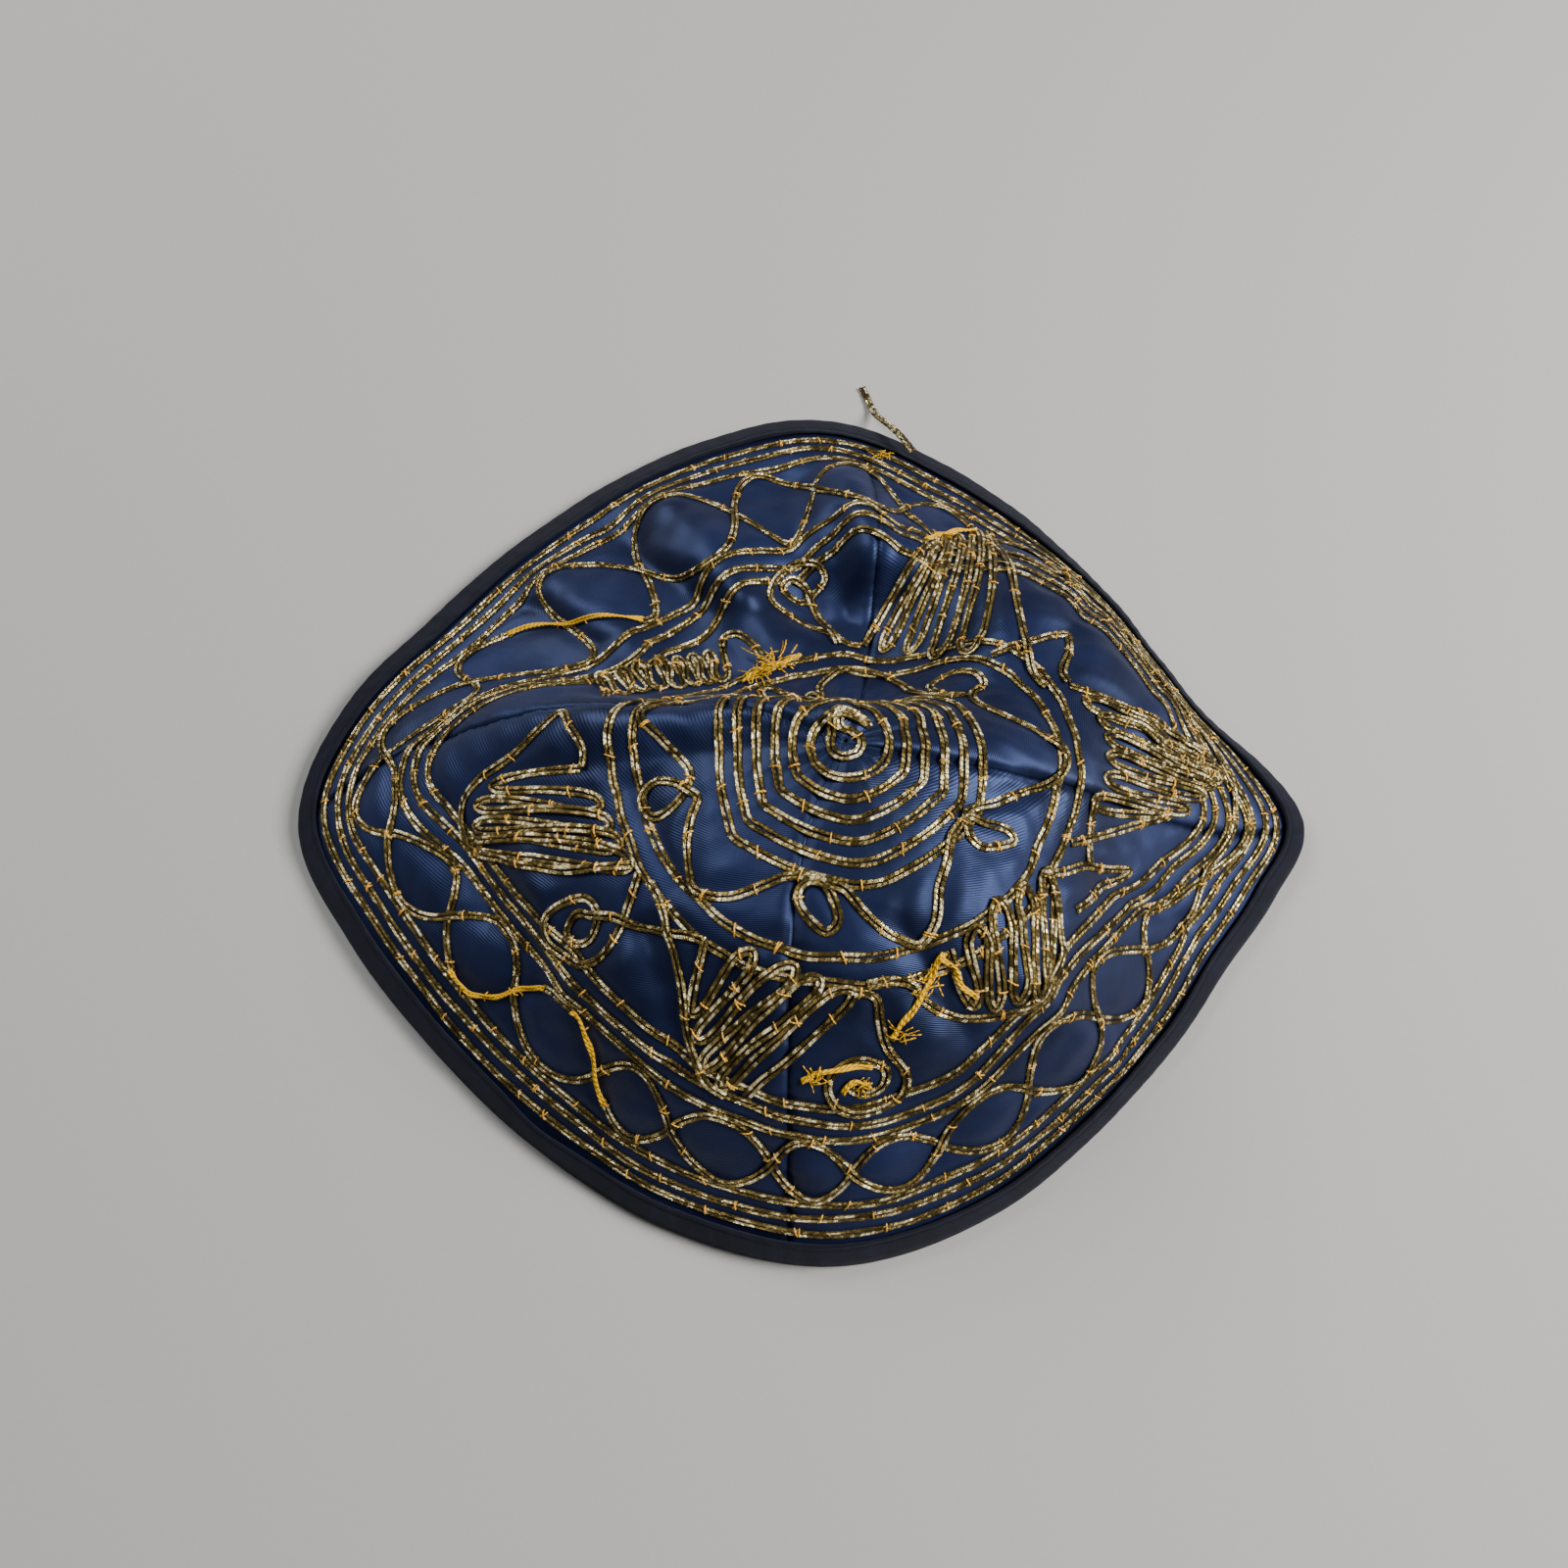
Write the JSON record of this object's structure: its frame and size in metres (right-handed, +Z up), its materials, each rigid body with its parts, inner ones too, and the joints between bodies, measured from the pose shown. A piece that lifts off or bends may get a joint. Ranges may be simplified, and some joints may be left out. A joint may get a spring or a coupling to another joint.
{
  "type": "kippah skullcap",
  "caption": "Navy satin skullcap of four gores with a dark taped rim and couched gold cord, lying half collapsed on its rim.",
  "frame": {"origin": "centre of the cap's box on the surface that its rim lies on", "axes": "+X towards the rim's right corner, +Y towards the back, away from the crown's overhang, +Z up"},
  "size_m": [0.1851, 0.1643, 0.044],
  "materials": {
    "satin": "satin",
    "tape": "matte",
    "gold_cord": "bright"
  },
  "bodies": {
    "root": {"gore_front_left": "satin", "gore_front_right": "satin", "gore_back_left": "satin", "gore_back_right": "satin", "rim_binding": "tape", "rim_cord_1": "gold_cord", "rim_cord_2": "gold_cord", "rim_cord_3": "gold_cord", "inner_cord_1": "gold_cord", "inner_cord_2": "gold_cord", "inner_cord_3": "gold_cord", "crown_ring_1": "gold_cord", "crown_ring_2": "gold_cord", "crown_spiral": "gold_cord"}
  },
  "joints": []
}
